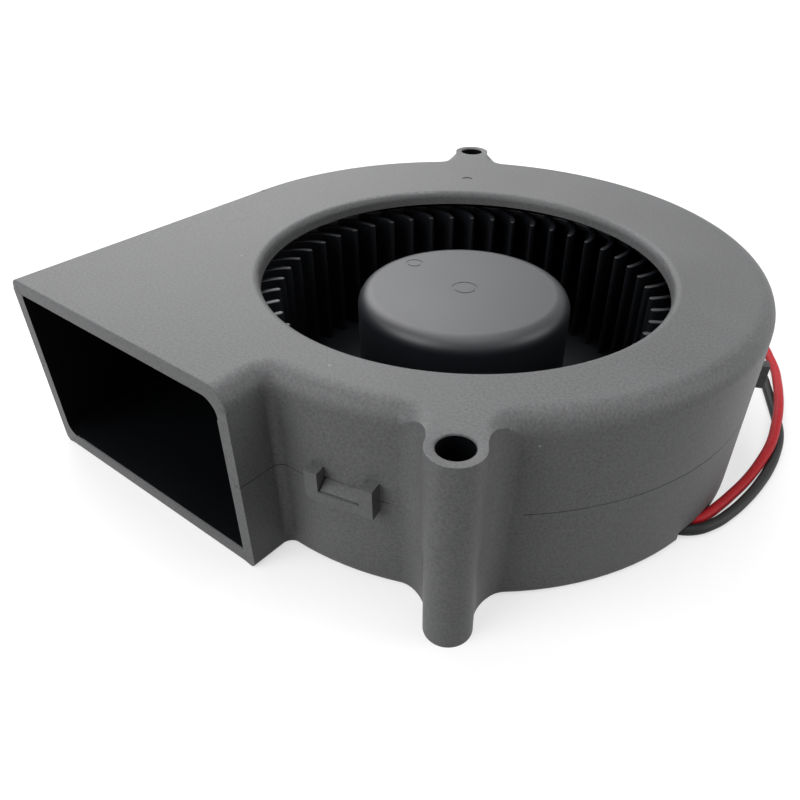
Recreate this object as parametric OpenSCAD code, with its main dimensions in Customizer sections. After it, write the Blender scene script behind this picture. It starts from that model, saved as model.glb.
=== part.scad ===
// Centrifugal blower: a scroll housing in two snapped halves, a forward-curved
// impeller and an outer-rotor motor. The rotor's axis is Z, the inlet faces +Z
// and the outlet faces -Y. The base lies on z = 0.

/* [Housing] */
// Overall height of the housing
housing_h = 30; // [28:0.5:40]
// Thickness of the scroll and duct walls
wall_t = 2; // [1.6:0.1:2.6]
// Thickness of the deck round the inlet
deck_t = 2.3; // [1.8:0.1:3]
// Thickness of the floor
floor_t = 2.4; // [2:0.1:3]
// Height of the seam between the two halves
seam_z = 15; // [12:0.5:17]
// Height of the lip that laps inside the seam
lap_h = 1.2; // [0.8:0.1:1.6]
// Thickness of that lip
lap_t = 1; // [0.7:0.05:1.2]
// Radius of the scroll's top edge
top_round = 3; // [1.5:0.1:4]
// Radius of the scroll's bottom edge
base_round = 1; // [0.5:0.1:1.5]
// Height of the fine shadow line along the seam
seam_line = 0.12; // [0.06:0.02:0.3]
// Depth of that line
seam_depth = 0.2; // [0.1:0.05:0.4]

/* [Scroll] */
// Radius of the small arc, from the tongue round to the right
scroll_r = 45.4; // [44:0.1:50]
// Growth of the radius from the small arc to the big one
scroll_step = 3; // [1:0.1:5]
// How far the arc centres lie behind the axis
scroll_back = 4.5; // [4:0.1:6]

/* [Outlet] */
// Distance from the axis to the outlet face
outlet_y = 47.8; // [47:0.1:56]
// Distance of the tongue-side wall from the axis
tongue_x = 0.8; // [0.2:0.1:4]
// Radius of the tongue's tip
tongue_r = 1.4; // [0.8:0.1:1.5]
// Angle at which the long wall closes in on the outlet
duct_taper = 3.4; // [1:0.1:5]
// Radius of the duct's long edge
duct_round = 1.4; // [0.6:0.1:1.5]
// Radius inside the duct, between the deck and the tongue
roof_fillet = 2.5; // [0.5:0.1:3]
// Radius inside the duct, between the floor and the long wall
floor_fillet = 2; // [0.5:0.1:3]

/* [Inlet] */
// Diameter of the inlet
inlet_d = 64; // [56:0.5:68]
// Radius of the inlet's rounded lip
inlet_round = 1.2; // [0.5:0.1:1.6]

/* [Mounting bosses] */
// Diameter of the two mounting holes
hole_d = 4.5; // [3.2:0.1:5]
// Outside diameter of a boss
boss_d = 7; // [6.2:0.1:9]
// Angle of the back boss; the other stands opposite
boss_angle = 124; // [118:0.5:130]
// Distance from the scroll wall to a hole's axis
boss_out = 5.5; // [4.5:0.1:7]
// Radius of the fillets that run into a boss
boss_fillet = 5; // [3:0.1:7]
// How much a boss steps in below the seam
boss_step = 0.2; // [0.05:0.05:0.4]

/* [Latches] */
// Width of a latch loop
latch_w = 9.8; // [9:0.1:12]
// Width of a loop's arms
latch_arm = 1.9; // [1.5:0.1:2]
// Reach of the arms above the seam
latch_up = 3; // [2:0.1:5]
// Depth of the loop's bar below the seam
latch_bar = 1.6; // [1:0.1:2.5]
// How far a loop stands out of the wall
latch_out = 1.7; // [1.2:0.1:2.5]
// Radius of a loop's lower left corner
latch_round = 1.3; // [0.4:0.1:1.5]
// Height of a barb above the seam
barb_h = 1.2; // [0.8:0.1:1.6]

/* [Impeller] */
// Diameter over the blades
impeller_d = 73.6; // [70:0.2:75]
// Diameter inside the blades
blade_eye_d = 59.2; // [54:0.2:62]
// Number of blades
blade_count = 47; // [31:1:51]
// Thickness of a blade
blade_t = 0.9; // [0.7:0.05:1.1]
// Turn of a blade from its inner edge to its outer edge
blade_sweep = 8; // [4:0.5:10]
// Thickness of the back disc
disc_t = 1.2; // [0.9:0.1:1.8]
// Width of the ring that ties the blade tips
tip_ring = 1; // [0.6:0.1:1.6]
// Diameter of the hub cap
hub_d = 34.6; // [32:0.2:40]
// Thickness of the hub cap's top
hub_t = 2; // [1.6:0.1:2.6]
// Thickness of the hub cap's side
hub_wall = 1.8; // [1.4:0.1:2.4]
// Radius of the hub cap's edge
hub_round = 2.6; // [1:0.1:3]
// Gap between the blades and the deck
inlet_gap = 1.8; // [1:0.1:2.4]
// Drop from the blade tips to the hub's top
hub_drop = 0.5; // [0:0.1:2]
// Gap under the back disc
disc_gap = 1.6; // [1.2:0.1:2]

/* [Motor] */
// Diameter of the shaft
shaft_d = 3; // [2.5:0.1:3.2]
// Outside diameter of a ball bearing
bearing_d = 8; // [7.6:0.1:9]
// Width of a ball bearing
bearing_w = 4; // [3.2:0.1:4.4]
// Balls in one bearing
ball_count = 7; // [6:1:7]
// Thickness of the bearing tube
tube_t = 1.2; // [1:0.1:1.4]
// Thickness of the steel rotor yoke
yoke_t = 1; // [0.8:0.1:1.2]
// Thickness of the magnet ring
magnet_t = 2; // [1.6:0.1:2.2]
// Air gap between the magnet and the stator
air_gap = 0.4; // [0.3:0.05:0.6]
// Height of the stator's lamination stack
core_h = 8; // [6:0.2:8.4]
// Width of a stator tooth
tooth_w = 4.4; // [3.6:0.1:4.8]
// Thickness of a winding on each side of its tooth
coil_t = 1.8; // [1.2:0.1:2]
// Thickness of the insulators
insulator_t = 1; // [0.8:0.1:1.2]

/* [Board] */
// Thickness of the circuit board
board_t = 1.2; // [0.8:0.1:1.4]
// Height of the posts that carry the board
post_h = 2; // [1.6:0.1:2.2]
// Height of the parts on the board
chip_h = 1.5; // [1:0.1:1.6]

/* [Leads] */
// Diameter of a lead
wire_d = 1.7; // [1.4:0.05:1.75]
// Spacing of the connector's two contacts
pitch = 2.5; // [2:0.1:3]
// Length of the connector
connector_l = 10; // [8:0.5:12]
// Height of the connector
connector_h = 5.8; // [5:0.1:7]

/* [Hidden] */
$fn = 96;

// Clearances and the overrun of cuts
cut = 1;
far = 200;
fit = 0.05;
snap_gap = 0.1;

// How far a fillet runs into the face that it leaves, so that they meet in one clean edge
blend = 0.02;

// Scroll arcs and the line of the long duct wall
small_c = [0, scroll_back];
big_c = [-scroll_step, scroll_back];
big_r = scroll_r + scroll_step;
long_wall_angle = 180 + duct_taper;
latch_angles = [-77.3, 24, 150];
latch_to_outlet = 6.3;
line_stop = 1;

// Heights, from the base up
groove_h = wire_d + 0.5;
groove_roof = 1.4;
rib_top = max(floor_t, groove_h + groove_roof);
disc_z = rib_top + disc_gap;
blade_top = housing_h - deck_t - inlet_gap;
hub_top = blade_top - hub_drop;
yoke_top = hub_top - hub_t;
yoke_z = disc_z + disc_t + 0.6;
magnet_z = yoke_z + 1.5;
magnet_h = yoke_top - yoke_t - 1.9 - magnet_z;
core_z = magnet_z + magnet_h / 2 - core_h / 2;
core_top = core_z + core_h;
board_z = floor_t + post_h;
board_top = board_z + board_t;
insulator_foot = 2;
seat_z = core_z - insulator_t - insulator_foot;

// Radii, from the hub cap in
hub_r = hub_d / 2;
yoke_r = hub_r - hub_wall - fit;
magnet_r = yoke_r - yoke_t - fit;
stator_r = magnet_r - magnet_t - air_gap;
tube_r = bearing_d / 2 + tube_t;
core_ring = 2;
core_hub_r = tube_r + core_ring;
shoe_t = 1.6;
shoe_half = 36;
coil_r0 = core_hub_r + 0.3;
coil_r1 = stator_r - shoe_t - 0.2;
seat_r = tube_r + 2.1;
board_r = stator_r + 1.2;
board_bore = seat_r + 0.35;

// Shallow marks that the moulds leave on the deck and on the hub cap
mark_depth = 0.15;
mark_w = 0.4;
dimple_d = 2;
dimple_at = [-23, 33];
ring_mark_d = 4.2;
gate_d = 3;
gate_at = [-12.2, 2.2];

// Shaft stack, from the end cap up
cap_t = 0.8;
flange_t = 1;
flange_r = tube_r + 1.3;
clip_t = 0.4;
washer_t = 0.4;
clip_z = cap_t + flange_t + 0.4;
bearing_z1 = clip_z + clip_t + washer_t;
spring_h = 1;
bush_h = 2.8;
bush_z = yoke_top - yoke_t - bush_h;
bearing_z2 = bush_z - spring_h - bearing_w;
tube_top = bearing_z2 + bearing_w + 0.4;
shaft_z = clip_z - 0.6;
shaft_top = yoke_top + 0.4;
race_r = (shaft_d + bearing_d) / 4;
ball_r = (bearing_d - shaft_d) * 0.15;
race_t = (bearing_d - shaft_d) * 0.14;
groove_gap = 0.04;
bush_r = shaft_d / 2 + 1.5;

// Lead groove, and the leads' routes from the board to the connector
groove_y = -4;
groove_w = 2 * wire_d + 1;
slot_x = 9.4;
slot_end = 15;
mouth_x = 38;
mouth_y = 3;
red_y = -3;
black_y = -5;
pad_x = 10.6;
connector_at = [-30, 63.25];
red_route = [[10.6, -3, board_z], [11, -3, 2.7], [12.3, -3, 1.4], [14.2, -3, 1], [19, -3, 1],
    [24, -3, 1], [29, -3, 1], [34, -3, 1], [38.5, -3, 1], [42.2, -2.5, 1], [44.7, -0.8, 1],
    [45.8, 1.7, 1], [46.5, 4.7, 0.9], [47.3, 9, 0.9], [48, 13.7, 1], [48.4, 19, 1.5],
    [48.4, 24, 2.3], [47.6, 29.2, 2.7], [46.5, 34.5, 2.8], [45, 40, 2.5], [43.4, 45.5, 1.7],
    [41.5, 51, 1.1], [39.3, 55.3, 0.9], [36.7, 59.5, 0.9], [33, 63, 0.9], [28.5, 65.4, 0.9],
    [23.5, 66.6, 0.9], [18, 67, 0.9], [12.5, 66.8, 0.9], [7, 66.4, 0.9], [1.5, 65.8, 0.9],
    [-4, 65.2, 0.9], [-9.5, 64.7, 1.1], [-15, 64.5, 1.7], [-20, 64.5, 2.4], [-25, 64.5, 2.8],
    [-30, 64.5, 2.9]];
black_route = [[10.6, -5, board_z], [11, -5, 2.7], [12.3, -5, 1.4], [14.2, -5, 1], [19, -5, 1],
    [24, -5, 1], [29, -5, 1], [34, -5, 1], [38.5, -5, 1], [42.2, -4.7, 1], [45.2, -3.1, 1],
    [47.2, 0, 1], [48.5, 4.2, 0.9], [49.4, 8.9, 0.9], [49.9, 13.8, 0.9], [50, 18.9, 0.9],
    [49.6, 24, 0.9], [48.7, 29, 0.9], [46.9, 33.8, 0.9], [44.7, 38.5, 0.9], [42.5, 43, 0.9],
    [40.2, 47.5, 0.9], [37, 51.5, 0.9], [33.2, 55, 0.9], [29, 57.8, 0.9], [24.5, 60, 0.9],
    [20, 61.4, 0.9], [15, 62.2, 0.9], [10, 62.5, 0.9], [5, 62.5, 0.9], [0, 62.3, 0.9],
    [-5, 62.1, 0.9], [-10, 62, 1.1], [-15, 62, 1.7], [-20, 62, 2.4], [-25, 62, 2.8],
    [-30, 62, 2.9]];

function along(angle) = [cos(angle), sin(angle)];
function turned(p, angle) = [p.x * cos(angle) - p.y * sin(angle), p.x * sin(angle) + p.y * cos(angle)];
function unit(v) = v / norm(v);

// Distance from the axis to a circle's far side, along an angle
function reach(c, r, angle) =
    let (b = c * along(angle)) b + sqrt(b * b - c * c + r * r);

// Point where the long wall leaves the big arc, and its line at a given y
function wall_start(inset) = big_c + (big_r - inset - blend) * along(long_wall_angle);
function long_wall_x(inset, y) =
    let (p = wall_start(inset)) p.x + (p.y - y) * tan(duct_taper);

// Frames of the latches: a point on the outer wall and the outward angle
latch_y = -outlet_y + latch_to_outlet;
latches = [
    [small_c + scroll_r * along(latch_angles[0]), latch_angles[0]],
    [big_c + big_r * along(latch_angles[1]), latch_angles[1]],
    [big_c + big_r * along(latch_angles[2]), latch_angles[2]],
    [[long_wall_x(0, latch_y), latch_y], long_wall_angle]];

// The part of the plan that the big arc bounds, running on behind the long wall
module big_sector() {
    polygon([big_c, big_c + [far, 0], big_c + [far, far], big_c + [-far, far],
        big_c + far * along(long_wall_angle + 6)]);
}

// The part that the small arc bounds
module small_sector() {
    polygon([small_c + [far, 0], small_c + [-scroll_r / 2, 0],
        small_c + [-scroll_r / 2, -far], small_c + [far, -far]]);
}

// The duct, and the middle of the scroll beside it
module duct_area(inset, overrun) {
    polygon([[-tongue_x - inset, -outlet_y - overrun],
        [long_wall_x(inset, -outlet_y - overrun), -outlet_y - overrun],
        wall_start(inset), wall_start(inset + 2 * top_round), [-big_r / 2, big_r / 3],
        [-tongue_x - inset, scroll_back + cut]]);
}

// The housing's outline, moved inwards by an inset and raised to a height
module plan_block(h, inset, overrun = 0) {
    linear_extrude(h) intersection() {
        translate(big_c) circle(big_r - inset);
        big_sector();
    }
    linear_extrude(h) intersection() {
        translate(small_c) circle(scroll_r - inset);
        small_sector();
    }
    linear_extrude(h) duct_area(inset, overrun);
}

// A round of radius r that touches the tongue-side wall at x and an arc about the small centre.
// It lies to the right of the wall and outside the arc.
function tongue_centre(x, arc, r) =
    [x + r - blend, scroll_back - sqrt(pow(arc + r - blend, 2) - pow(x + r - blend, 2))];

module tongue_area(x, arc, r) {
    c = tongue_centre(x, arc, r);
    difference() {
        polygon([[x - cut, c.y], c, small_c, [x - cut, scroll_back]]);
        translate(c) circle(r);
    }
}

// The air space, with the tongue's tip rounded
inner_tip = tongue_centre(-tongue_x - wall_t, scroll_r - wall_t, tongue_r);

module cavity_block(h) {
    plan_block(h, wall_t, cut);
    linear_extrude(h) tongue_area(-tongue_x - wall_t, scroll_r - wall_t, tongue_r);
}

// Material between a square corner and the round that replaces it
module corner_waste(r) {
    difference() {
        translate([-r, -r]) square(r + cut);
        translate([-r, -r]) circle(r);
    }
}

// Material over a hole of radius r and over the round of its edge, on z = 0
module edge_dish(r, round) {
    rotate_extrude() difference() {
        translate([0, -round]) square([r + round, round + cut]);
        translate([r + round, -round]) circle(round);
    }
}

// Lays a profile, x outwards and y up, along a wall; it runs to the right of the outward angle
module run_along(p, angle, length) {
    translate(p) rotate([90, 0, angle]) linear_extrude(length) children();
}

module run_along_duct(inset, z) {
    y = -outlet_y - 2 * cut;
    run_along([long_wall_x(inset, y), y, z], long_wall_angle,
        (wall_start(inset).y - y) / cos(duct_taper)) children();
}

// Mounting bosses, each on an arc of the scroll: its centre, its radius and the boss's angle
boss_arcs = [[small_c, scroll_r, boss_angle - 180], [big_c, big_r, boss_angle]];

function boss_at(arc) = (reach(arc[0], arc[1], arc[2]) + boss_out) * along(arc[2]);

// Directions in which the fillets of a boss run out on its arc
function web_rays(arc, boss_r) =
    let (v = boss_at(arc) - arc[0], f = arc[1] + boss_fillet - blend,
        half = acos((f * f + v * v - pow(boss_r + boss_fillet - blend, 2)) / (2 * f * norm(v))))
    [for (side = [-1, 1]) atan2(v.y, v.x) + side * half];

module web_area(arc, boss_r) {
    ends = [for (ray = web_rays(arc, boss_r)) arc[0] + (arc[1] + boss_fillet - blend) * along(ray)];
    difference() {
        polygon([arc[0], ends[0], boss_at(arc), ends[1]]);
        for (end = ends) translate(end) circle(boss_fillet);
    }
}

// Bosses that hang by h from z = 0. The scroll's edge round fades out along the fillets.
module bosses(h, boss_r, round) {
    fade_r = max(boss_fillet - round, 0);
    for (arc = boss_arcs) {
        difference() {
            translate([0, 0, -h]) linear_extrude(h) web_area(arc, boss_r);
            for (ray = web_rays(arc, boss_r))
                translate(arc[0] + (arc[1] + fade_r - blend) * along(ray)) edge_dish(fade_r, round);
        }
        translate([0, 0, -h]) translate(boss_at(arc)) cylinder(r = boss_r, h = h);
    }
}

module mounting_holes() {
    for (arc = boss_arcs) translate([0, 0, -cut]) translate(boss_at(arc))
        cylinder(d = hole_d, h = housing_h + 2 * cut);
}

// One half of the housing as a block that hangs by h from its outer face on z = 0.
// The duct's long edge has a round of its own; the rest of the edge shares one.
module half_disc(c, r, h, round) {
    translate(c) rotate_extrude() difference() {
        translate([0, -h]) square([r, h]);
        translate([r, 0]) corner_waste(round);
    }
}

module half_block(h, round, long_round) {
    tip = tongue_centre(-tongue_x, scroll_r, tongue_r);
    intersection() {
        half_disc(big_c, big_r, h, round);
        translate([0, 0, -far / 2]) linear_extrude(far) big_sector();
    }
    intersection() {
        half_disc(small_c, scroll_r, h, round);
        translate([0, 0, -far / 2]) linear_extrude(far) small_sector();
    }
    difference() {
        translate([0, 0, -h]) {
            linear_extrude(h) duct_area(0, 0);
            linear_extrude(h) tongue_area(-tongue_x, scroll_r, tongue_r);
        }
        run_along_duct(0, 0) corner_waste(long_round);
        run_along([-tongue_x, tip.y, 0], 0, far) corner_waste(round);
        intersection() {
            translate(tip) edge_dish(tongue_r, round);
            translate([0, 0, -far / 2]) linear_extrude(far)
                polygon([tip, small_c, [-far, scroll_back], [-far, tip.y]]);
        }
    }
}

module latch_frame(latch) {
    translate(latch[0]) rotate(latch[1]) children();
}

module latch_block(x0, x1, width, z0, z1) {
    translate([x0, -width / 2, z0]) cube([x1 - x0, width, z1 - z0]);
}

// Upper half: deck with the inlet, side wall, upper boss halves and latch loops
module cover_block() {
    difference() {
        translate([0, 0, housing_h]) {
            half_block(housing_h - seam_z, top_round, duct_round);
            bosses(housing_h - seam_z, boss_d / 2, top_round);
        }
        seam_groove();
    }
}

// Fine shadow line along the seam, which stops short of the bosses' fillets
module seam_groove() {
    difference() {
        translate([0, 0, seam_z - cut]) plan_block(seam_line + cut, -cut, cut);
        plan_block(far, seam_depth, -seam_depth);
        for (arc = boss_arcs) linear_extrude(far) {
            rays = web_rays(arc, boss_d / 2) + [-line_stop, line_stop];
            polygon([arc[0], arc[0] + far * along(rays[0]), arc[0] + far * along(rays[1])]);
        }
    }
}

module latch_loop() {
    inner_w = latch_w - 2 * latch_arm;
    bottom = seam_z - latch_bar;
    translate([-wall_t / 2, 0, 0]) rotate([90, 0, 90]) linear_extrude(wall_t / 2 + latch_out)
        difference() {
            translate([-latch_w / 2, bottom]) square([latch_w, latch_bar + latch_up]);
            translate([-inner_w / 2, seam_z]) square([inner_w, latch_up + cut]);
            translate([-latch_w / 2, bottom]) rotate(180) corner_waste(latch_round);
        }
}

module upper_cover() {
    barb_slot = latch_w - 2 * latch_arm;
    color("dimgray") difference() {
        union() {
            cover_block();
            difference() {
                for (latch = latches) latch_frame(latch) latch_loop();
                plan_block(seam_z, -snap_gap);
            }
        }
        difference() {
            translate([0, 0, seam_z - cut]) cavity_block(housing_h - deck_t - seam_z + cut);
            run_along([-tongue_x - wall_t, inner_tip.y, housing_h - deck_t], 0, far)
                corner_waste(roof_fillet);
        }
        translate([0, 0, seam_z - cut]) plan_block(lap_h + fit + cut, wall_t - lap_t - fit, cut);
        for (latch = latches) latch_frame(latch)
            latch_block(-wall_t, snap_gap, barb_slot, seam_z - cut, seam_z + barb_h + snap_gap);
        cylinder(d = inlet_d, h = housing_h + cut);
        translate([0, 0, housing_h]) edge_dish(inlet_d / 2, inlet_round);
        translate([dimple_at.x, dimple_at.y, housing_h - mark_depth]) cylinder(d = dimple_d, h = cut);
        mounting_holes();
    }
}

// Lower half: floor, side wall with its lap lip, motor seat, lead groove and barbs
module groove_area(grow) {
    y0 = groove_y - groove_w / 2 - grow;
    y1 = groove_y + groove_w / 2 + grow;
    translate([slot_x - grow, y0]) square([mouth_x - slot_x + 2 * grow, y1 - y0]);
    polygon([[mouth_x, y0], [far, y0], [far, mouth_y + grow],
        [scroll_r - wall_t, mouth_y + grow], [mouth_x, y1]]);
}

module barb() {
    slack = snap_gap;
    width = latch_w - 2 * latch_arm - 4 * slack;
    root = -wall_t + lap_t / 2;
    neck = root / 3;
    tip = latch_out - 3 * slack;
    ledge = seam_z + slack / 2;
    translate([0, width / 2, 0]) rotate([90, 0, 0]) linear_extrude(width)
        polygon([[root, seam_z - cut], [neck, seam_z - cut], [neck, ledge], [tip, ledge],
            [tip, ledge + 2 * slack], [-slack, seam_z + barb_h], [root, seam_z + barb_h]]);
}

module base_block() {
    mirror([0, 0, 1]) {
        half_block(seam_z, base_round, base_round);
        bosses(seam_z, boss_d / 2 - boss_step, base_round);
    }
}

post_d = 2.4;

module at_posts() {
    for (a = [60, 180, 300]) rotate(a) translate([(board_bore + board_r) / 2, 0]) children();
}

module lower_housing() {
    color("dimgray") difference() {
        union() {
            difference() {
                union() {
                    base_block();
                    translate([0, 0, seam_z - cut]) plan_block(lap_h + cut, wall_t - lap_t);
                    for (latch = latches) latch_frame(latch) barb();
                }
                difference() {
                    translate([0, 0, floor_t]) cavity_block(far);
                    run_along_duct(wall_t, floor_t) mirror([0, 1]) corner_waste(floor_fillet);
                }
            }
            intersection() {
                linear_extrude(rib_top) groove_area(wall_t / 2);
                translate(small_c) cylinder(r = scroll_r - wall_t / 2, h = rib_top);
            }
            cylinder(r = seat_r, h = seat_z);
            at_posts() cylinder(d = post_d, h = board_z);
        }
        translate([0, 0, -cut]) linear_extrude(groove_h + cut) groove_area(0);
        translate([slot_x, groove_y - groove_w / 2, -cut]) cube([slot_end - slot_x, groove_w, far]);
        translate([0, 0, -cut]) cylinder(r = tube_r + fit, h = far);
        translate([0, 0, -cut]) cylinder(r = flange_r + fit, h = cap_t + flange_t + cut);
        mounting_holes();
    }
}

// Impeller: hub cap, back disc, blades and the ring that ties their tips
function camber(s) =
    let (r = blade_eye_d / 2 + s * (impeller_d - blade_eye_d) / 2)
    r * along(blade_sweep * (0.3 * s + 0.7 * s * s));

function blade_side(s, side) =
    let (step = 0.05, t = unit(camber(s + step) - camber(s - step)))
    camber(s) + side * blade_t / 2 * [-t.y, t.x];

module blade_area() {
    stations = [for (i = [0 : 6]) i / 6];
    polygon(concat([for (s = stations) blade_side(s, -1)],
        [for (i = [6 : -1 : 0]) blade_side(stations[i], 1)]));
}

module impeller() {
    ring_h = 1.2;
    color([0.16, 0.16, 0.17]) {
        difference() {
            union() {
                rotate_extrude() difference() {
                    translate([0, disc_z]) square([hub_r, hub_top - disc_z]);
                    translate([hub_r, hub_top]) corner_waste(hub_round);
                }
                translate([0, 0, disc_z]) cylinder(d = impeller_d, h = disc_t);
            }
            translate([0, 0, disc_z - cut]) cylinder(r = hub_r - hub_wall, h = yoke_top - disc_z + cut);
            cylinder(r = bush_r + fit, h = shaft_top + 0.2);
            ring(ring_mark_d / 2 - mark_w, ring_mark_d / 2, hub_top - mark_depth, cut);
            translate(gate_at) ring(gate_d / 2 - mark_w, gate_d / 2, hub_top - mark_depth, cut);
        }
        translate([0, 0, blade_top - ring_h]) difference() {
            cylinder(d = impeller_d, h = ring_h);
            translate([0, 0, -cut]) cylinder(d = impeller_d - 2 * tip_ring, h = ring_h + 2 * cut);
        }
        intersection() {
            cylinder(d = impeller_d, h = far);
            translate([0, 0, disc_z + disc_t / 2]) linear_extrude(blade_top - disc_z - disc_t / 2)
                for (i = [0 : blade_count - 1]) rotate(i * 360 / blade_count) blade_area();
        }
    }
}

// Rotor: steel cup, magnet, brass bush and shaft
module ring(r0, r1, z, h) {
    translate([0, 0, z]) difference() {
        cylinder(r = r1, h = h);
        translate([0, 0, -cut]) cylinder(r = r0, h = h + 2 * cut);
    }
}

module rotor_yoke() {
    color("silver") {
        ring(yoke_r - yoke_t, yoke_r, yoke_z, yoke_top - yoke_z);
        ring(bush_r + fit, yoke_r, yoke_top - yoke_t, yoke_t);
    }
}

module magnet_ring() {
    color([0.25, 0.24, 0.23]) ring(magnet_r - magnet_t, magnet_r, magnet_z, magnet_h);
}

module rotor_bush() {
    collar_h = 0.8;
    collar_w = 2;
    color("gold") difference() {
        union() {
            translate([0, 0, bush_z]) cylinder(r = bush_r, h = shaft_top - bush_z);
            translate([0, 0, yoke_top - yoke_t - collar_h]) cylinder(r = bush_r + collar_w, h = collar_h);
        }
        translate([0, 0, bush_z - cut]) cylinder(d = shaft_d + fit, h = far);
    }
}

module shaft() {
    slack = fit / 2;
    color("lightgray") difference() {
        translate([0, 0, shaft_z]) cylinder(d = shaft_d, h = shaft_top - shaft_z);
        ring(shaft_d / 2 * 0.72, shaft_d, clip_z - slack, clip_t + 2 * slack);
    }
}

module preload_spring() {
    turns = 3;
    per_turn = 12;
    rod_r = 0.11;
    coil_r = shaft_d / 2 + 0.4;
    z0 = bearing_z2 + bearing_w + rod_r + fit;
    rise = spring_h - 2 * rod_r - 2 * fit;
    steps = turns * per_turn;
    color("gainsboro") tube([for (i = [0 : steps])
        let (p = coil_r * along(i * 360 / per_turn)) [p.x, p.y, z0 + rise * i / steps]], rod_r, 6);
}

module thrust_washer() {
    color("silver") ring(shaft_d / 2 + fit / 2, race_r - ball_r, clip_z + clip_t, washer_t);
}

module retaining_clip() {
    r0 = shaft_d / 2 * 0.72 + fit / 2;
    color("silver") difference() {
        ring(r0, shaft_d / 2 + 0.9, clip_z, clip_t);
        translate([0, -r0 * 0.8, clip_z - cut]) cube([far, r0 * 1.6, far]);
    }
}

// Ball bearings: the same pair of races and row of balls at two heights
module at_bearings() {
    for (z = [bearing_z1, bearing_z2]) translate([0, 0, z]) children();
}

module race_groove() {
    translate([0, 0, bearing_w / 2]) rotate_extrude() translate([race_r, 0]) circle(ball_r + groove_gap);
}

module bearing_inner_races() {
    color("silver") at_bearings() difference() {
        ring(shaft_d / 2 + fit / 4, shaft_d / 2 + race_t, 0, bearing_w);
        race_groove();
    }
}

module bearing_balls() {
    color("whitesmoke") at_bearings() for (i = [0 : ball_count - 1])
        rotate(i * 360 / ball_count) translate([race_r, 0, bearing_w / 2]) sphere(r = ball_r);
}

module bearing_outer_races() {
    color("silver") at_bearings() difference() {
        ring(bearing_d / 2 - race_t, bearing_d / 2 - fit / 2, 0, bearing_w);
        race_groove();
    }
}

module bearing_tube() {
    shoulder_r = bearing_d / 2 - race_t * 0.8;
    color("goldenrod") difference() {
        union() {
            translate([0, 0, cap_t]) cylinder(r = tube_r, h = tube_top - cap_t);
            translate([0, 0, cap_t]) cylinder(r = flange_r, h = flange_t);
        }
        cylinder(r = shoulder_r, h = far);
        cylinder(d = bearing_d, h = bearing_z1 + bearing_w);
        translate([0, 0, bearing_z2]) cylinder(d = bearing_d, h = far);
    }
}

module end_cap() {
    color("black") cylinder(r = flange_r, h = cap_t);
}

// Stator: laminated core, two insulators, four windings and their terminals
module core_area() {
    difference() {
        union() {
            circle(core_hub_r);
            for (a = [0 : 90 : 270]) rotate(a) {
                translate([0, -tooth_w / 2]) square([stator_r - shoe_t / 2, tooth_w]);
                shoe_area(stator_r - shoe_t, stator_r);
            }
        }
        circle(tube_r + fit);
    }
}

module shoe_area(r0, r1) {
    difference() {
        intersection() {
            circle(r1);
            polygon([[0, 0], far * along(-shoe_half), [2 * far, 0], far * along(shoe_half)]);
        }
        circle(r0);
    }
}

module stator_core() {
    color("slategray") translate([0, 0, core_z]) linear_extrude(core_h) core_area();
}

module winding_guards(z) {
    translate([0, 0, z]) linear_extrude(coil_guard) for (a = [0 : 90 : 270]) rotate(a)
        shoe_area(stator_r - shoe_t, stator_r - shoe_t / 2);
}

coil_guard = 1.2;
terminal_r = 0.35;
terminal_at = stator_r - terminal_r - 0.1;
terminal_angles = [28, 118, 208];

module at_terminals() {
    for (a = terminal_angles) rotate(a) translate([terminal_at, 0]) children();
}

module upper_insulator() {
    color("ivory") {
        translate([0, 0, core_top]) linear_extrude(insulator_t) core_area();
        winding_guards(core_top + insulator_t);
    }
}

module lower_insulator() {
    color("ivory") difference() {
        union() {
            translate([0, 0, core_z - insulator_t]) linear_extrude(insulator_t) core_area();
            winding_guards(core_z - insulator_t - coil_guard);
            ring(tube_r + fit, core_hub_r, seat_z, core_z - insulator_t - seat_z);
        }
        at_terminals() translate([0, 0, core_z - insulator_t - cut])
            cylinder(r = terminal_r + fit / 2, h = cut + insulator_t / 2);
    }
}

module coil_windings() {
    z0 = core_z - insulator_t - fit;
    z1 = core_top + insulator_t + fit;
    hole_w = tooth_w + 2 * fit;
    color([0.72, 0.4, 0.2]) for (a = [0 : 90 : 270]) rotate(a) difference() {
        intersection() {
            translate([coil_r0, -hole_w / 2 - coil_t, z0 - coil_guard])
                cube([coil_r1 - coil_r0, hole_w + 2 * coil_t, z1 - z0 + 2 * coil_guard]);
            cylinder(r = coil_r1, h = far);
        }
        translate([coil_r0 - cut, -hole_w / 2, z0]) cube([far, hole_w, z1 - z0]);
    }
}

module coil_terminals() {
    color("gold") at_terminals() translate([0, 0, board_z - 0.6])
        cylinder(r = terminal_r, h = core_z - insulator_t / 2 - board_z + 0.6);
}

// Circuit board and the parts on it
module circuit_board() {
    color("darkgreen") difference() {
        ring(board_bore, board_r, board_z, board_t);
        at_terminals() translate([0, 0, board_z - cut]) cylinder(r = terminal_r + 0.1, h = far);
    }
}

hall_size = [1.6, 3];
driver_size = [3.8, 4.8];
capacitor_size = [2.4, 3.2];
diode_size = [1.8, 3.6];
resistor_size = [2, 1.2];

module chip(angle, size, h) {
    at = (board_bore + board_r) / 2;
    rotate(angle) translate([at - size.x / 2, -size.y / 2, board_top]) cube([size.x, size.y, h]);
}

module hall_sensor() {
    color("black") chip(45, hall_size, chip_h);
}

module driver_chip() {
    color("black") chip(145, driver_size, chip_h);
}

module capacitor() {
    color("tan") chip(232, capacitor_size, chip_h);
}

module diode() {
    color("black") chip(300, diode_size, chip_h * 0.8);
}

module resistors() {
    color("black") for (a = [78, 96]) chip(a, resistor_size, chip_h * 0.4);
}

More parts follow.
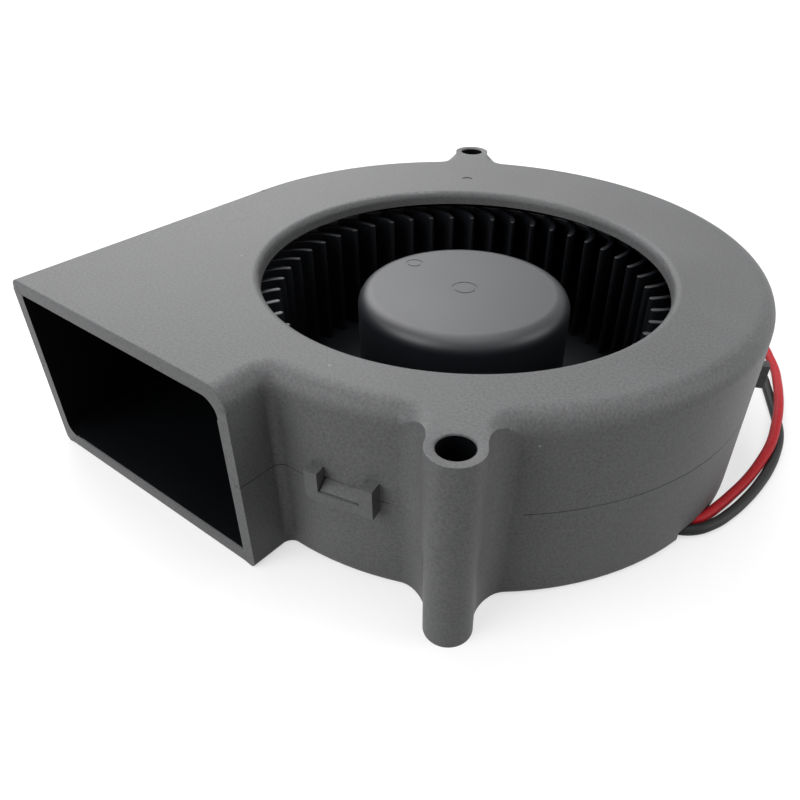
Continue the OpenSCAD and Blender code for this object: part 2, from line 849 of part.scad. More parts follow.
module solder_joints() {
    color("lightgray") for (y = [red_y, black_y]) translate([pad_x, y, board_top])
        cylinder(r1 = 0.8, r2 = 0.3, h = 0.6);
}

// Leads: one closed tube along each route, with a frame that turns as little as it can
function end_slope(a, b, c) = unit(4 * b - 3 * a - c);

function tangents(route) =
    let (last = len(route) - 1)
    [for (i = [0 : last]) i == 0 ? end_slope(route[0], route[1], route[2])
        : i == last ? -end_slope(route[last], route[last - 1], route[last - 2])
        : unit(route[i + 1] - route[i - 1])];

function across(v, t) = unit(v - (v * t) * t);

function sides(route) =
    let (t = tangents(route))
    [for (i = 0, n = across([0.1, 1, 0.2], t[0]); i < len(route);
        i = i + 1, n = across(n, t[min(i, len(route) - 1)])) n];

module tube(route, r, count) {
    t = tangents(route);
    n = sides(route);
    last = (len(route) - 1) * count;
    points = [for (i = [0 : len(route) - 1], k = [0 : count - 1])
        let (a = k * 360 / count) route[i] + r * (cos(a) * n[i] + sin(a) * cross(t[i], n[i]))];
    skin = [for (i = [0 : len(route) - 2], k = [0 : count - 1])
        let (a = i * count, b = a + count, m = (k + 1) % count)
        each [[a + k, b + k, a + m], [a + m, b + k, b + m]]];
    polyhedron(points, concat([[for (k = [0 : count - 1]) k]], skin,
        [[for (k = [count - 1 : -1 : 0]) last + k]]));
}

module red_lead() {
    color("firebrick") tube(red_route, wire_d / 2, 8);
}

module black_lead() {
    color("black") tube(black_route, wire_d / 2, 8);
}

// Connector at the end of the leads, with a crimped contact in each cavity
module at_contacts() {
    for (side = [-1, 1]) translate([connector_at.x, connector_at.y + side * pitch / 2, connector_h / 2])
        children();
}

module connector_housing() {
    connector_w = 2 * pitch + 2.4;
    cavity = pitch * 0.76;
    key_w = 1.2;
    color("ivory") difference() {
        union() {
            translate([connector_at.x - connector_l, connector_at.y - connector_w / 2, 0])
                cube([connector_l, connector_w, connector_h * 0.86]);
            for (side = [-1, 1]) translate([connector_at.x - connector_l, connector_at.y
                + side * pitch / 2 - key_w / 2, 0]) cube([connector_l * 0.7, key_w, connector_h]);
        }
        at_contacts() translate([-connector_l - cut, -cavity / 2, -cavity / 2])
            cube([connector_l + 2 * cut, cavity, cavity]);
    }
}

module connector_contacts() {
    size = pitch * 0.76 - 2 * fit;
    sheet = 0.25;
    length = connector_l * 0.75;
    color("gold") at_contacts() translate([-length, 0, 0]) difference() {
        translate([0, -size / 2, -size / 2]) cube([length, size, size]);
        translate([-cut, sheet - size / 2, sheet - size / 2])
            cube([length * 0.6 + cut, size - 2 * sheet, size - 2 * sheet]);
    }
}

upper_cover();
lower_housing();
impeller();
rotor_yoke();
magnet_ring();
rotor_bush();
shaft();
preload_spring();
thrust_washer();
retaining_clip();
bearing_inner_races();
bearing_balls();
bearing_outer_races();
bearing_tube();
end_cap();
stator_core();
upper_insulator();
lower_insulator();
coil_windings();
coil_terminals();
circuit_board();
hall_sensor();
driver_chip();
capacitor();
diode();
resistors();
solder_joints();
red_lead();
black_lead();
connector_housing();
connector_contacts();
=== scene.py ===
import math

import bmesh
import bpy
from mathutils import Matrix, Vector


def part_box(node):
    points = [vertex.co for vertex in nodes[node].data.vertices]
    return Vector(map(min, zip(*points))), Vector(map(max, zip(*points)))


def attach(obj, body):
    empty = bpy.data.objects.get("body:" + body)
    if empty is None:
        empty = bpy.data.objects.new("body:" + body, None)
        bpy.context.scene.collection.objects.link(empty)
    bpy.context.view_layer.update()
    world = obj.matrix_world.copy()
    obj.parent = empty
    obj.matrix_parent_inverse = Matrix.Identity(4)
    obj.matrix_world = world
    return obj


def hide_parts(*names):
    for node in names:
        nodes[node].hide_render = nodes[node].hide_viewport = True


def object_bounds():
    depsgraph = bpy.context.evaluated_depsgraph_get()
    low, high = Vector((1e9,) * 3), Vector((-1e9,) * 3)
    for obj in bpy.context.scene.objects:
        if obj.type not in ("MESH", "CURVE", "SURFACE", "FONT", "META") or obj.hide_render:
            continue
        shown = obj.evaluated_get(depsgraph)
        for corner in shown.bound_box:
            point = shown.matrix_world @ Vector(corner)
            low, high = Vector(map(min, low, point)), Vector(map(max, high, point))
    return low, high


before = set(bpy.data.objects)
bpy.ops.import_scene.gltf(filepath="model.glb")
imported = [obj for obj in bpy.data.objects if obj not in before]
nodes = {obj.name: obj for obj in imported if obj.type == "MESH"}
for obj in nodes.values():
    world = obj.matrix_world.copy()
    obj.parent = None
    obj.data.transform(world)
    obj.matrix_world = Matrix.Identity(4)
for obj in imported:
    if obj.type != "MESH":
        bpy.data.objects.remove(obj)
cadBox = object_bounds()
scene = bpy.context.scene
mm = 0.001
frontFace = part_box("upper_cover")[0][1] / mm
topFace = cadBox[1][2] / mm
print("stage: frame loaded,", len(nodes), "nodes")


# camera, set where the photo was taken from
shot = {
    "place": (59.45, -87.72, 77.04),   # mm
    "azimuth": 36.289,                 # degrees, as are the next two
    "elevation": 36.929,
    "roll": 1.452,
    "lens": 32.147,
    "sensor": 36.0,
    "shift": (-0.0456, 0.0313),
    "clipStart": 0.005,                # metres
}


def makeCamera():
    az, el, roll = (math.radians(shot[k]) for k in ("azimuth", "elevation", "roll"))
    flatRight = Vector((math.cos(az), math.sin(az), 0))
    back = Vector((math.cos(el) * math.sin(az), -math.cos(el) * math.cos(az), math.sin(el)))
    flatUp = back.cross(flatRight)
    right = math.cos(roll) * flatRight + math.sin(roll) * flatUp
    up = back.cross(right)
    data = bpy.data.cameras.new("camera")
    data.lens = shot["lens"]
    data.sensor_width = shot["sensor"]
    data.shift_x, data.shift_y = shot["shift"]
    data.clip_start = shot["clipStart"]
    camera = bpy.data.objects.new("camera", data)
    turn = Matrix((right, up, back)).transposed().to_4x4()
    camera.matrix_world = Matrix.Translation(Vector(shot["place"]) * mm) @ turn
    scene.collection.objects.link(camera)
    scene.camera = camera


makeCamera()
print("stage: camera")


# leads, lying on the floor and running behind the housing to the plug
leads = {
    "diameter": 1.7 * mm,
    "redLength": 0.169,    # metres
    "blackLength": 0.166,
    "roundSteps": 5,
    "alongSteps": 6,
    "red": [(10.6, -3, 4.4), (11, -3, 2.7), (12.3, -3, 1.4), (14.2, -3, 1), (19, -3, 1),
            (24, -3, 1), (29, -3, 1), (34, -3, 1), (38.5, -3, 1), (42.2, -2.5, 1), (44.7, -0.8, 1),
            (45.8, 1.7, 1), (46.5, 4.7, 0.9), (47.3, 9, 0.9), (48, 13.7, 1), (48.4, 19, 1.5),
            (48.4, 24, 2.3), (47.6, 29.2, 2.7), (46.5, 34.5, 2.8), (45, 40, 2.5), (43.4, 45.5, 1.7),
            (41.5, 51, 1.1), (39.3, 55.3, 0.9), (36.7, 59.5, 0.9), (33, 63, 0.9), (28.5, 65.4, 0.9),
            (23.5, 66.6, 0.9), (18, 67, 0.9), (12.5, 66.8, 0.9), (7, 66.4, 0.9), (1.5, 65.8, 0.9),
            (-4, 65.2, 0.9), (-9.5, 64.7, 1.1), (-15, 64.5, 1.7), (-20, 64.5, 2.4), (-25, 64.5, 2.8),
            (-30, 64.5, 2.9)],
    "black": [(10.6, -5, 4.4), (11, -5, 2.7), (12.3, -5, 1.4), (14.2, -5, 1), (19, -5, 1),
              (24, -5, 1), (29, -5, 1), (34, -5, 1), (38.5, -5, 1), (42.2, -4.7, 1), (45.2, -3.1, 1),
              (47.2, 0, 1), (48.5, 4.2, 0.9), (49.4, 8.9, 0.9), (49.9, 13.8, 0.9), (50, 18.9, 0.9),
              (49.6, 24, 0.9), (48.7, 29, 0.9), (46.9, 33.8, 0.9), (44.7, 38.5, 0.9), (42.5, 43, 0.9),
              (40.2, 47.5, 0.9), (37, 51.5, 0.9), (33.2, 55, 0.9), (29, 57.8, 0.9), (24.5, 60, 0.9),
              (20, 61.4, 0.9), (15, 62.2, 0.9), (10, 62.5, 0.9), (5, 62.5, 0.9), (0, 62.3, 0.9),
              (-5, 62.1, 0.9), (-10, 62, 1.1), (-15, 62, 1.7), (-20, 62, 2.4), (-25, 62, 2.8),
              (-30, 62, 2.9)],
}


def makeLead(name, route, node):
    data = bpy.data.curves.new(name, "CURVE")
    data.dimensions = "3D"
    data.bevel_depth = 1.0   # the points' own radius sets the size
    data.bevel_resolution = leads["roundSteps"]
    data.resolution_u = leads["alongSteps"]
    data.use_fill_caps = True
    spline = data.splines.new("BEZIER")
    spline.bezier_points.add(len(route) - 1)
    for point, place in zip(spline.bezier_points, route):
        point.co = Vector(place) * mm
        point.radius = leads["diameter"] / 2
        point.handle_left_type = point.handle_right_type = "AUTO"
    lead = bpy.data.objects.new(name, data)
    scene.collection.objects.link(lead)
    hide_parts(node)
    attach(lead, "frame")
    return lead


redLead = makeLead("redWire", leads["red"], "red_lead")
blackLead = makeLead("blackWire", leads["black"], "black_lead")
print("stage: leads")


# textures and shader groups that several finishes share
texture = {
    "pitDetail": 2.0,
    "pitRoughness": 0.65,
    "mottleDetail": 4.0,
    "mottleShare": 0.35,         # share of the wide mottle in the tone
    "speckEdge": (0.09, 0.03),   # where in its cell a speck starts, and where it is full
    "brushDetail": 3.0,
    "toneSpan": (0.3, 0.7),      # part of the noise over which the tone changes
    "metalTone": 0.12,           # how far a metal's tone varies
    "plasticRough": 0.06,        # how far the roughness varies
    "metalRough": 0.1,
    "dustTint": (0.6, 0.16),     # share of the colour under the dust, and the dust's own tone
}


def newGroup(name, inputs, outputs):
    group = bpy.data.node_groups.new(name, "ShaderNodeTree")
    for label, value in inputs.items():
        socket = group.interface.new_socket(label, in_out="INPUT", socket_type="NodeSocketFloat")
        socket.default_value = value
    for label in outputs:
        group.interface.new_socket(label, in_out="OUTPUT", socket_type="NodeSocketFloat")
    return group, group.nodes.new("NodeGroupInput"), group.nodes.new("NodeGroupOutput")


def makeGrain():
    group, given, out = newGroup("mouldGrain", {"Grain Scale": 2600.0, "Mottle Scale": 45.0},
                                 ["Height", "Mottle", "Tone"])
    make, link = group.nodes.new, group.links.new
    place = make("ShaderNodeTexCoord")
    pits = make("ShaderNodeTexNoise")
    pits.inputs["Detail"].default_value = texture["pitDetail"]
    pits.inputs["Roughness"].default_value = texture["pitRoughness"]
    cloud = make("ShaderNodeTexNoise")
    cloud.inputs["Detail"].default_value = texture["mottleDetail"]
    link(place.outputs["Object"], pits.inputs["Vector"])
    link(place.outputs["Object"], cloud.inputs["Vector"])
    link(given.outputs["Grain Scale"], pits.inputs["Scale"])
    link(given.outputs["Mottle Scale"], cloud.inputs["Scale"])
    link(pits.outputs["Fac"], out.inputs["Height"])
    link(cloud.outputs["Fac"], out.inputs["Mottle"])
    tone = make("ShaderNodeMix")
    tone.inputs["Factor"].default_value = texture["mottleShare"]
    link(pits.outputs["Fac"], tone.inputs["A"])
    link(cloud.outputs["Fac"], tone.inputs["B"])
    link(tone.outputs["Result"], out.inputs["Tone"])
    return group


def makeDust():
    group, given, out = newGroup("dustSpecks", {"Spacing": 420.0, "Cover": 0.05}, ["Mask"])
    make, link = group.nodes.new, group.links.new
    place = make("ShaderNodeTexCoord")
    cells = make("ShaderNodeTexVoronoi")
    near = make("ShaderNodeMapRange")
    start, full = texture["speckEdge"]
    near.inputs["From Min"].default_value = start
    near.inputs["From Max"].default_value = full
    split = make("ShaderNodeSeparateColor")
    keep = make("ShaderNodeMath")
    keep.operation = "LESS_THAN"
    both = make("ShaderNodeMath")
    both.operation = "MULTIPLY"
    link(place.outputs["Object"], cells.inputs["Vector"])
    link(given.outputs["Spacing"], cells.inputs["Scale"])
    link(cells.outputs["Distance"], near.inputs["Value"])
    link(cells.outputs["Color"], split.inputs["Color"])
    link(split.outputs["Red"], keep.inputs[0])
    link(given.outputs["Cover"], keep.inputs[1])
    link(near.outputs["Result"], both.inputs[0])
    link(keep.outputs["Value"], both.inputs[1])
    link(both.outputs["Value"], out.inputs["Mask"])
    return group


def makeBrush():
    group, given, out = newGroup("brushedLines", {"Across": 4000.0, "Along": 90.0},
                                 ["Height", "Streak"])
    make, link = group.nodes.new, group.links.new
    place = make("ShaderNodeTexCoord")
    stretch = make("ShaderNodeVectorMath")
    stretch.operation = "MULTIPLY"
    scale = make("ShaderNodeCombineXYZ")
    lines = make("ShaderNodeTexNoise")
    lines.inputs["Scale"].default_value = 1.0
    lines.inputs["Detail"].default_value = texture["brushDetail"]
    link(given.outputs["Along"], scale.inputs["X"])
    link(given.outputs["Along"], scale.inputs["Y"])
    link(given.outputs["Across"], scale.inputs["Z"])
    link(place.outputs["Object"], stretch.inputs[0])
    link(scale.outputs["Vector"], stretch.inputs[1])
    link(stretch.outputs["Vector"], lines.inputs["Vector"])
    link(lines.outputs["Fac"], out.inputs["Height"])
    link(lines.outputs["Fac"], out.inputs["Streak"])
    return group


grainGroup, dustGroup, brushGroup = makeGrain(), makeDust(), makeBrush()


# finishes: one entry for each, colours are linear
plastics = {
    "housingPlastic": {"color": (0.09, 0.091, 0.093), "rough": 0.5, "shine": 0.2, "grain": 2600,
                       "depth": 0.03, "mottle": 0.3, "dust": 0.03},
    # a darker copy of the housing plastic for the faces inside the duct and the screw holes: painted
    # shade
    "housingPaintedShade": {"color": (0.0022, 0.0025, 0.0032), "rough": 0.5, "shine": 0.08, "grain": 2600,
                      "depth": 0.02, "mottle": 0.15, "dust": 0.01},
    "impellerPlastic": {"color": (0.008, 0.009, 0.012), "rough": 0.45, "shine": 0.5, "grain": 3400,
                        "depth": 0.012, "mottle": 0.3, "dust": 0.02},
    # a darker copy of the impeller plastic for the blades, disc and ring: painted shade of the deep
    # inlet
    "bladeDiscPaintedShade": {"color": (0.004, 0.0045, 0.006), "rough": 0.4, "shine": 0.3, "grain": 3400,
                     "depth": 0.012, "mottle": 0.3, "dust": 0.02},
    "redJacket": {"color": (0.38, 0.012, 0.018), "rough": 0.5, "shine": 0.15, "grain": 1500,
                  "depth": 0.008, "mottle": 0.15, "dust": 0.02},
    "blackJacket": {"color": (0.012, 0.0125, 0.013), "rough": 0.5, "shine": 0.2, "grain": 1500,
                    "depth": 0.008, "mottle": 0.15, "dust": 0.02},
    "plugNylon": {"color": (0.76, 0.74, 0.66), "rough": 0.4, "grain": 1800, "depth": 0.01,
                  "mottle": 0.06, "dust": 0.03},
    "insulatorNylon": {"color": (0.7, 0.67, 0.55), "rough": 0.45, "grain": 1800, "depth": 0.01,
                       "mottle": 0.08, "dust": 0.02},
    "boardMask": {"color": (0.012, 0.11, 0.04), "rough": 0.3, "grain": 900, "depth": 0.006,
                  "mottle": 0.2, "dust": 0.04},
    "packageResin": {"color": (0.012, 0.012, 0.013), "rough": 0.5, "grain": 3000, "depth": 0.02,
                     "mottle": 0.1, "dust": 0.03},
    "ceramicTan": {"color": (0.3, 0.19, 0.1), "rough": 0.5, "grain": 2400, "depth": 0.01,
                   "mottle": 0.15, "dust": 0.02},
    "ferrite": {"color": (0.03, 0.028, 0.027), "rough": 0.6, "grain": 1600, "depth": 0.04,
                "mottle": 0.25, "dust": 0.03},
}

metals = {
    "groundSteel": {"color": (0.56, 0.57, 0.58), "rough": 0.25, "across": 5000, "depth": 0.004},
    "platedSteel": {"color": (0.46, 0.47, 0.48), "rough": 0.35, "across": 2500, "depth": 0.008},
    "laminations": {"color": (0.2, 0.21, 0.23), "rough": 0.45, "across": 1000, "depth": 0.03},
    "turnedBrass": {"color": (0.62, 0.42, 0.14), "rough": 0.28, "across": 4000, "depth": 0.006},
    "enamelledCopper": {"color": (0.52, 0.17, 0.06), "rough": 0.3, "across": 1400, "depth": 0.06},
    "solderTin": {"color": (0.6, 0.6, 0.61), "rough": 0.3, "across": 900, "depth": 0.01},
}


def startMaterial(name):
    material = bpy.data.materials.new(name)
    material.use_nodes = True
    return material, material.node_tree, material.node_tree.nodes["Principled BSDF"]


def placeGroup(tree, group, **values):
    node = tree.nodes.new("ShaderNodeGroup")
    node.node_tree = group
    for label, value in values.items():
        node.inputs[label.replace("_", " ")].default_value = value
    return node


def addBump(tree, shader, height, depth):
    bump = tree.nodes.new("ShaderNodeBump")
    bump.inputs["Distance"].default_value = depth * mm
    bump.inputs["Strength"].default_value = 1.0
    tree.links.new(height, bump.inputs["Height"])
    tree.links.new(bump.outputs["Normal"], shader.inputs["Normal"])


def shiftTone(tree, source, color, amount):
    ramp = tree.nodes.new("ShaderNodeValToRGB")
    low, high = ramp.color_ramp.elements
    low.position, high.position = texture["toneSpan"]
    low.color = (*(c * (1 - amount) for c in color), 1)
    high.color = (*(c * (1 + amount) for c in color), 1)
    tree.links.new(source, ramp.inputs["Fac"])
    return ramp.outputs["Color"]


def spread(tree, source, middle, width):
    span = tree.nodes.new("ShaderNodeMapRange")
    span.inputs["To Min"].default_value = middle - width
    span.inputs["To Max"].default_value = middle + width
    tree.links.new(source, span.inputs["Value"])
    return span.outputs["Result"]


def makePlastic(name):
    look = plastics[name]
    material, tree, shader = startMaterial(name)
    grain = placeGroup(tree, grainGroup, Grain_Scale=look["grain"])
    dust = placeGroup(tree, dustGroup, Cover=look["dust"])
    tone = shiftTone(tree, grain.outputs["Tone"], look["color"], look["mottle"])
    dusty = tree.nodes.new("ShaderNodeMix")
    dusty.data_type = "RGBA"
    share, own = texture["dustTint"]
    dusty.inputs["B"].default_value = (*(share * c + own for c in look["color"]), 1)
    tree.links.new(dust.outputs["Mask"], dusty.inputs["Factor"])
    tree.links.new(tone, dusty.inputs["A"])
    tree.links.new(dusty.outputs["Result"], shader.inputs["Base Color"])
    rough = spread(tree, grain.outputs["Mottle"], look["rough"], texture["plasticRough"])
    tree.links.new(rough, shader.inputs["Roughness"])
    addBump(tree, shader, grain.outputs["Height"], look["depth"])
    shader.inputs["Specular IOR Level"].default_value = look.get("shine", 0.5)
    return material


def makeMetal(name):
    look = metals[name]
    material, tree, shader = startMaterial(name)
    shader.inputs["Metallic"].default_value = 1.0
    brush = placeGroup(tree, brushGroup, Across=look["across"])
    tone = shiftTone(tree, brush.outputs["Streak"], look["color"], texture["metalTone"])
    rough = spread(tree, brush.outputs["Streak"], look["rough"], texture["metalRough"])
    tree.links.new(tone, shader.inputs["Base Color"])
    tree.links.new(rough, shader.inputs["Roughness"])
    addBump(tree, shader, brush.outputs["Height"], look["depth"])
    return material


finish = {name: makePlastic(name) for name in plastics}
finish.update({name: makeMetal(name) for name in metals})
print("stage: finishes,", len(finish))


# housing: the two moulded halves, shaded evenly, with painted shade on the faces inside the duct and
# in the screw holes; sizes in mm
shells = {
    "nodes": {"upperShell": "upper_cover", "lowerShell": "lower_housing"},
    "merge": 0.00002,                # vertices nearer than this become one
    "sharp": 50,                     # degrees, from where an edge is shaded as sharp
    "bigArc": (-3.0, 4.5, 48.4),     # centre and outer radius in plan
    "smallArc": (0.0, 4.5, 45.4),
    "longWall": (-51.3, 1.7, 3.4),   # a point on its outer face, and its taper in degrees
    "wallReach": 0.3,                # how near that point's y the duct's edge runs out
    "tongueWall": -0.8,
    "wall": 2.0,
    "floor": 2.4,
    "deck": 2.3,
    "topRound": 3.0,
    "seam": 15.0,
    "seamGap": 2.5,                  # the rim stays crisp this near the seam
    "holes": ((26.35, -39.05), (-33.15, 49.15)),
    "holeRadius": 2.25,
    "holeMargin": 0.05,
    "onFace": 0.01,                  # a point this near a face lies on it
    "probe": 0.5,                    # how far in front of a face its air space is looked for
    "ease": 0.25,
    "easeSegments": 2,
    "easeAngle": 40,                 # degrees, from where a rim's edge is eased
    "shortest": {"upper_cover": 0.0, "lower_housing": 1.0},   # rim edges below this stay crisp
}


def inHole(point):
    reach = shells["holeRadius"] + shells["holeMargin"]
    return any(math.hypot(point.x / mm - x, point.y / mm - y) < reach for x, y in shells["holes"])


def inAirSpace(point):
    x, y, z = point / mm
    if not (shells["floor"] < z < topFace - shells["deck"] and y > frontFace):
        return False
    bigX, bigY, bigRadius = shells["bigArc"]
    if y > bigY:
        return math.hypot(x - bigX, y - bigY) < bigRadius - shells["wall"]
    smallX, smallY, smallRadius = shells["smallArc"]
    if x > shells["tongueWall"] - shells["wall"]:
        return math.hypot(x - smallX, y - smallY) < smallRadius - shells["wall"]
    wallX, wallY, taper = shells["longWall"]
    return x > wallX + shells["wall"] / 2 + (wallY - y) * math.tan(math.radians(taper))


def shade(shape):
    shape.normal_update()
    for face in shape.faces:
        face.smooth = True
    for edge in shape.edges:
        edge.smooth = edge.calc_face_angle(0) < math.radians(shells["sharp"])


def evenOut(piece):
    even = piece.modifiers.new("evenNormals", "WEIGHTED_NORMAL")
    even.mode = "FACE_AREA"
    even.keep_sharp = True


def runOut(shape):
    # where the duct's tighter edge ends, its corner is drawn in to the scroll's rounder one
    bigX, bigY, bigRadius = shells["bigArc"]
    wallY = shells["longWall"][1]
    ridge = Vector((bigRadius - shells["topRound"], topFace - shells["topRound"]))
    for vert in shape.verts:
        x, y, z = vert.co / mm
        if abs(y - wallY) > shells["wallReach"] or x > bigX:
            continue
        flat = Vector((x - bigX, y - bigY))
        out = Vector((flat.length, z)) - ridge
        if out.x > 0 and out.y > 0 and out.length > shells["topRound"]:
            spot = ridge + out.normalized() * shells["topRound"]
            flat *= spot.x / flat.length
            vert.co = Vector((bigX + flat.x, bigY + flat.y, spot.y)) * mm


def isRim(edge, node):
    near = shells["onFace"]
    spots = [v.co / mm for v in edge.verts]
    onFront = all(abs(p.y - frontFace) < near for p in spots)
    if onFront and all(abs(p.z - shells["seam"]) > shells["seamGap"] for p in spots):
        return edge.calc_length() > shells["shortest"][node] * mm
    onTop = all(abs(p.z - topFace) < near for p in spots)
    return onTop and all(inHole(v.co) for v in edge.verts)


def easeRims(shape, node):
    # rounds the outlet's rim and the screw holes' rims, one chain of edges at a time
    steep = math.radians(shells["easeAngle"])
    left = {e for e in shape.edges
            if e.is_convex and e.calc_face_angle(0) > steep and isRim(e, node)}
    shape.edges.index_update()
    chains = []
    while left:
        chain = [min(left, key=lambda e: e.index)]
        left -= set(chain)
        for edge in chain:
            joined = {e for v in edge.verts for e in v.link_edges} & left
            left -= joined
            chain += sorted(joined, key=lambda e: e.index)
        chains.append(chain)
    for chain in chains:
        bmesh.ops.bevel(shape, geom=chain, offset=shells["ease"] * mm,
                        segments=shells["easeSegments"], profile=0.5, affect="EDGES",
                        clamp_overlap=True)


def makeShell(name, node):
    shape = bmesh.new()
    shape.from_mesh(nodes[node].data)
    bmesh.ops.remove_doubles(shape, verts=shape.verts, dist=shells["merge"] * mm)
    runOut(shape)
    # faces in the duct's air space and in the screw holes take the second finish, which is painted
    # shade
    for face in shape.faces:
        middle = face.calc_center_median()
        ahead = middle + face.normal * shells["probe"] * mm
        face.material_index = int(inHole(middle) or inAirSpace(ahead))
    easeRims(shape, node)
    shade(shape)
    mesh = bpy.data.meshes.new(name)
    # second slot: the darker copy of the plastic that paints the shade inside
    mesh.materials.append(finish["housingPlastic"])
    mesh.materials.append(finish["housingPaintedShade"])
    shape.to_mesh(mesh)
    shape.free()
    shell = bpy.data.objects.new(name, mesh)
    scene.collection.objects.link(shell)
    evenOut(shell)
    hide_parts(node)
    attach(shell, "frame")


for name, node in shells["nodes"].items():
    makeShell(name, node)
print("stage: housing")


# impeller: a turned hub, disc and ring, with the blades set round them by nodes; sizes in mm
impeller = {
    "blades": 47,
    "eyeRadius": 29.6,        # at the blades' inner edges
    "thickness": 0.9,
    "sweep": 8.0,             # degrees from a blade's inner edge to its tip
    "bend": (0.3, 0.7),       # even and growing share of the sweep
    "stations": 10,
    "tangent": 0.02,          # share of a blade over which its direction is taken
    "nose": 0.8,              # how far the inner edge is drawn out, in half thicknesses
    "tipGap": 0.05,           # from the blades' middle line to the wheel's edge
    "tipLimit": 0.02,         # from the blades' corners to the wheel's edge
    "hubRadius": 17.3,
    "hubMargin": 0.05,
    "hubRound": 2.6,
    "hubSteps": 10,
    "hubDrop": 0.5,           # from the blades' top to the hub's top
    "hubWall": 1.8,
    "hubCap": 2.0,
    "boreRadius": 3.05,
    "boreDepth": 0.6,
    "discThickness": 1.2,
    "ringWidth": 1.0,
    "ringHeight": 1.2,
    "ringDrop": 0.03,         # from the blades' top to the ring's top
    "ringSteps": 3,
    "ease": 0.15,
    "easeSegments": 2,
    "ringMark": (1.7, 2.1),   # radii of the groove round the hub's middle
    "gateMark": (-12.2, 2.2, 1.1, 1.5),   # where the small groove is, and its radii
    "markDepth": 0.06,
    "markSegments": 48,
    "cutAbove": 1.0,          # how far the groove's cutter stands out of the hub
    "segments": 160,
}


def turn(shape, profile, closed, count):
    # turns (radius, height) points about the axis; a point on the axis stays one vertex
    rings = []
    for radius, height in profile:
        spots = 1 if radius < 1e-6 else count
        rings.append([shape.verts.new((radius * math.cos(math.tau * k / count) * mm,
                                       radius * math.sin(math.tau * k / count) * mm, height * mm))
                      for k in range(spots)])
    pairs = list(zip(rings, rings[1:])) + ([(rings[-1], rings[0])] if closed else [])
    for first, second in pairs:
        for k in range(count):
            m = (k + 1) % count
            corners = [first[k % len(first)], second[k % len(second)], second[m % len(second)],
                       first[m % len(first)]]
            shape.faces.new(list(dict.fromkeys(corners)))


def rounded(before, corner, after, radius, steps=4):
    # points on a round that replaces a corner
    a, b, c = (Vector(p) for p in (before, corner, after))
    start, end = b + (a - b).normalized() * radius, b + (c - b).normalized() * radius
    middle = start + end - b
    swing = start - middle, end - middle
    return [tuple(middle + swing[0] * math.cos(t) + swing[1] * math.sin(t))
            for t in (math.pi / 2 * k / steps for k in range(steps + 1))]


def makeHub(low, high, tip):
    look = impeller
    top = high - look["hubDrop"]
    disc = low + look["discThickness"]
    under = top - look["hubCap"]
    hub, ease = look["hubRadius"], look["ease"]
    inner = hub - look["hubWall"]
    bore = look["boreRadius"]
    groove = look["ringMark"]
    profile = [(0, top), (groove[0], top), (groove[0], top - look["markDepth"]),
               (groove[1], top - look["markDepth"]), (groove[1], top)]
    profile += rounded((0, top), (hub, top), (hub, low), look["hubRound"], look["hubSteps"])
    profile += [(hub, disc)]
    profile += rounded((hub, disc), (tip, disc), (tip, low), ease)
    profile += rounded((tip, disc), (tip, low), (inner, low), ease)
    profile += rounded((tip, low), (inner, low), (inner, under), ease)
    boreTop = under + look["boreDepth"]
    profile += [(inner, under), (bore, under), (bore, boreTop), (0, boreTop)]
    ringTop, ringLow = high - look["ringDrop"], high - look["ringHeight"]
    ringInner = tip - look["ringWidth"]
    corners = [(ringInner, ringLow), (ringInner, ringTop), (tip, ringTop), (tip, ringLow)]
    ring = []
    for k in range(4):
        ring += rounded(corners[k - 1], corners[k], corners[(k + 1) % 4], ease, look["ringSteps"])
    shape = bmesh.new()
    turn(shape, profile, False, look["segments"])
    turn(shape, ring, True, look["segments"])
    bmesh.ops.recalc_face_normals(shape, faces=shape.faces)
    return meshFrom(shape, "impeller")


def meshFrom(shape, name):
    shade(shape)
    mesh = bpy.data.meshes.new(name)
    shape.to_mesh(mesh)
    shape.free()
    return mesh


def makeBlade(low, high, tip):
    look = impeller
    half = look["thickness"] / 2
    last = look["stations"] - 1
    step = look["tangent"]
    even, growing = look["bend"]
    limit = tip - look["tipLimit"]

    def camber(s):
        # the blade's middle line, from 0 at the inner edge to 1 at the tip
        radius = look["eyeRadius"] + s * (tip - look["tipGap"] - look["eyeRadius"])
        angle = math.radians(look["sweep"] * (even * s + growing * s * s))
        return Vector((math.cos(angle), math.sin(angle))) * radius

    sides = ([], [])
    for k in range(look["stations"]):
        s = k / last
        along = (camber(s + step) - camber(s - step)).normalized()
        across = Vector((-along.y, along.x)) * half
        sides[0].append(camber(s) - across)
        sides[1].append(camber(s) + across)
    nose = camber(0) - (camber(2 * step) - camber(0)).normalized() * half * look["nose"]
    outline = [nose] + sides[0] + sides[1][::-1]
    outline = [p if p.length < limit else p * limit / p.length for p in outline]
    shape = bmesh.new()
    floor = shape.faces.new([shape.verts.new((p.x * mm, p.y * mm, low * mm)) for p in outline])
    lifted = bmesh.ops.extrude_face_region(shape, geom=[floor])["geom"]
    bmesh.ops.translate(shape, vec=(0, 0, (high - low) * mm),
                        verts=[v for v in lifted if isinstance(v, bmesh.types.BMVert)])
    bmesh.ops.recalc_face_normals(shape, faces=shape.faces)
    rim = [e for e in shape.edges if all(v.co.z > (high - 0.01) * mm for v in e.verts)]
    bmesh.ops.bevel(shape, geom=rim, offset=look["ease"] * mm, segments=look["easeSegments"],
                    profile=0.5, affect="EDGES")
    return meshFrom(shape, "blade")


